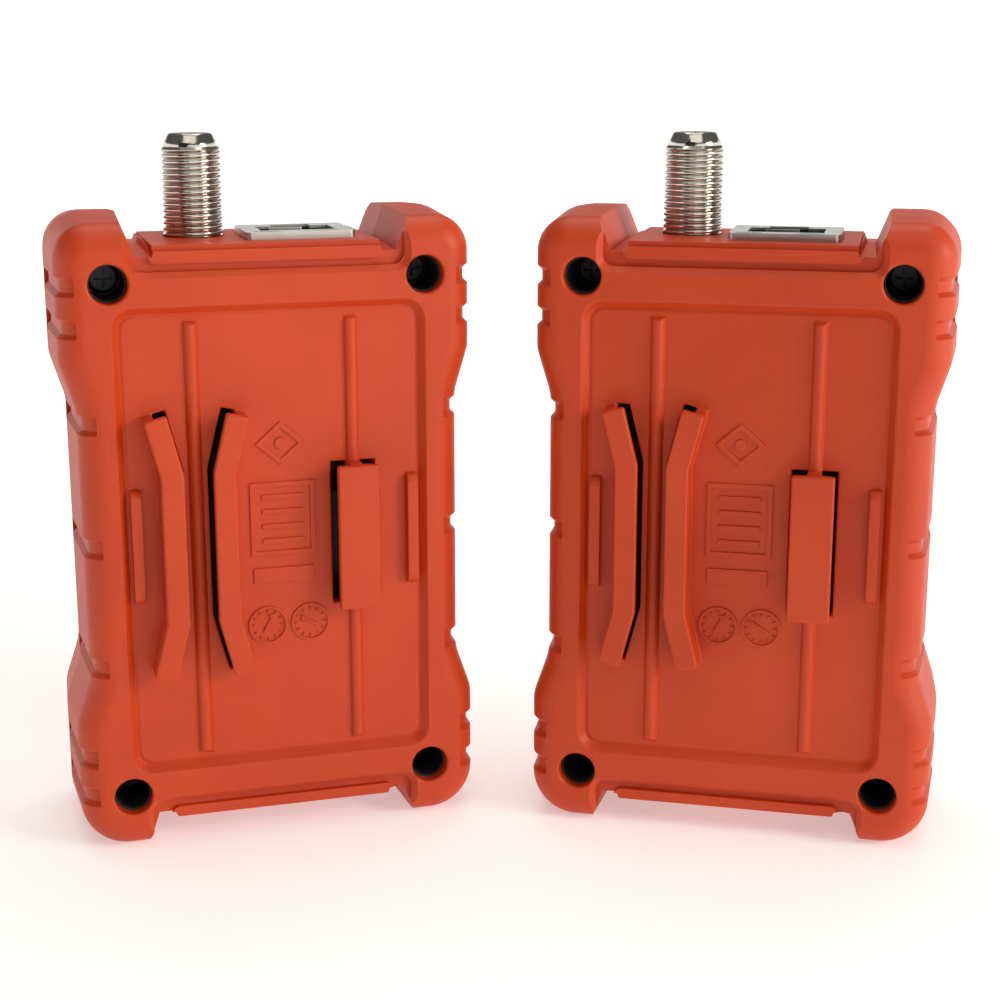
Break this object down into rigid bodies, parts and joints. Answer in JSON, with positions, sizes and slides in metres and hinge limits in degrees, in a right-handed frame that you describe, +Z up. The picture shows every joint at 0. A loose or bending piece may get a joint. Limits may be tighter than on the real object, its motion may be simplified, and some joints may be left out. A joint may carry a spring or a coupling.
{
  "type": "cable tester kit",
  "caption": "Pair of orange hand-held cable testers that dock back to back, with corner bumpers, coax and network sockets, keys and battery doors.",
  "frame": {"origin": "middle of the bounding box, at the level that both units stand on", "axes": "+Z up, -Y towards the backs of the units (the docking side), +X from the main unit to the remote unit"},
  "size_m": [0.149, 0.0466, 0.1128],
  "materials": {
    "orange_shell": "satin fine-grained moulded ABS",
    "dark_face": "printed dark faceplate",
    "grey_key": "soft key cap",
    "smoked_window": "smoked window",
    "led_resin": "diffused LED resin",
    "board_green": "solder mask",
    "chip_black": "moulded epoxy",
    "socket_nickel": "nickel plate",
    "shield_tin": "tinned sheet",
    "socket_plastic": "moulded nylon",
    "contact_gold": "gold flash",
    "insulator_white": "white dielectric",
    "screw_steel": "zinc plated steel",
    "battery_jacket": "plain metal jacket"
  },
  "bodies": {
    "main_power_key": {"main_power_key": "grey_key", "main_power_plunger": "grey_key"},
    "main_test_key": {"main_test_key": "grey_key", "main_test_plunger": "grey_key"},
    "main_tone_key": {"main_tone_key": "grey_key", "main_tone_plunger": "grey_key"},
    "main_battery_door": {"main_battery_door": "orange_shell"},
    "main_unit": {"main_back_shell": "orange_shell", "main_battery": "battery_jacket", "main_battery_contact_block": "chip_black", "main_board_chips": "chip_black", "main_board_screws": "screw_steel", "main_buzzer": "chip_black", "main_case_screws": "screw_steel", "main_circuit_board": "board_green", "main_coax_barrel": "socket_nickel", "main_coax_contact": "contact_gold", "main_coax_insulator": "insulator_white", "main_connector_plate": "orange_shell", "main_faceplate": "dark_face", "main_front_shell": "orange_shell", "main_jack_contacts": "contact_gold", "main_jack_insert": "socket_plastic", "main_jack_shield": "shield_tin", "main_key_switches": "chip_black", "main_led_window": "smoked_window", "main_status_leds": "led_resin"},
    "remote_power_key": {"remote_power_key": "grey_key", "remote_power_plunger": "grey_key"},
    "remote_battery_door": {"remote_battery_door": "orange_shell"},
    "remote_unit": {"remote_back_shell": "orange_shell", "remote_battery": "battery_jacket", "remote_battery_contact_block": "chip_black", "remote_board_chips": "chip_black", "remote_board_screws": "screw_steel", "remote_case_screws": "screw_steel", "remote_circuit_board": "board_green", "remote_coax_barrel": "socket_nickel", "remote_coax_contact": "contact_gold", "remote_coax_insulator": "insulator_white", "remote_connector_plate": "orange_shell", "remote_faceplate": "dark_face", "remote_front_shell": "orange_shell", "remote_jack_contacts": "contact_gold", "remote_jack_insert": "socket_plastic", "remote_jack_shield": "shield_tin", "remote_key_switches": "chip_black", "remote_led_window": "smoked_window", "remote_status_leds": "led_resin"}
  },
  "joints": [
    {"name": "remote_unit_lift", "type": "slide", "parent": "main_unit", "child": "remote_unit", "axis": [0, 0, 1], "range_m": [0, 0.15]},
    {"name": "main_power_key_press", "type": "slide", "parent": "main_unit", "child": "main_power_key", "axis": [0.2857, -0.9583, 0], "range_m": [0, 0.0004], "stiffness_N_per_m": 900, "springref_m": -0.0006},
    {"name": "main_test_key_press", "type": "slide", "parent": "main_unit", "child": "main_test_key", "axis": [0.2857, -0.9583, 0], "range_m": [0, 0.0004], "stiffness_N_per_m": 900, "springref_m": -0.0006},
    {"name": "main_tone_key_press", "type": "slide", "parent": "main_unit", "child": "main_tone_key", "axis": [0.2857, -0.9583, 0], "range_m": [0, 0.0004], "stiffness_N_per_m": 900, "springref_m": -0.0006},
    {"name": "main_battery_door_slide", "type": "slide", "parent": "main_unit", "child": "main_battery_door", "axis": [0, 0, -1], "range_m": [0, 0.004]},
    {"name": "remote_power_key_press", "type": "slide", "parent": "remote_unit", "child": "remote_power_key", "axis": [-0.2233, -0.9748, 0], "range_m": [0, 0.0004], "stiffness_N_per_m": 900, "springref_m": -0.0006},
    {"name": "remote_battery_door_slide", "type": "slide", "parent": "remote_unit", "child": "remote_battery_door", "axis": [0, 0, -1], "range_m": [0, 0.004]}
  ]
}
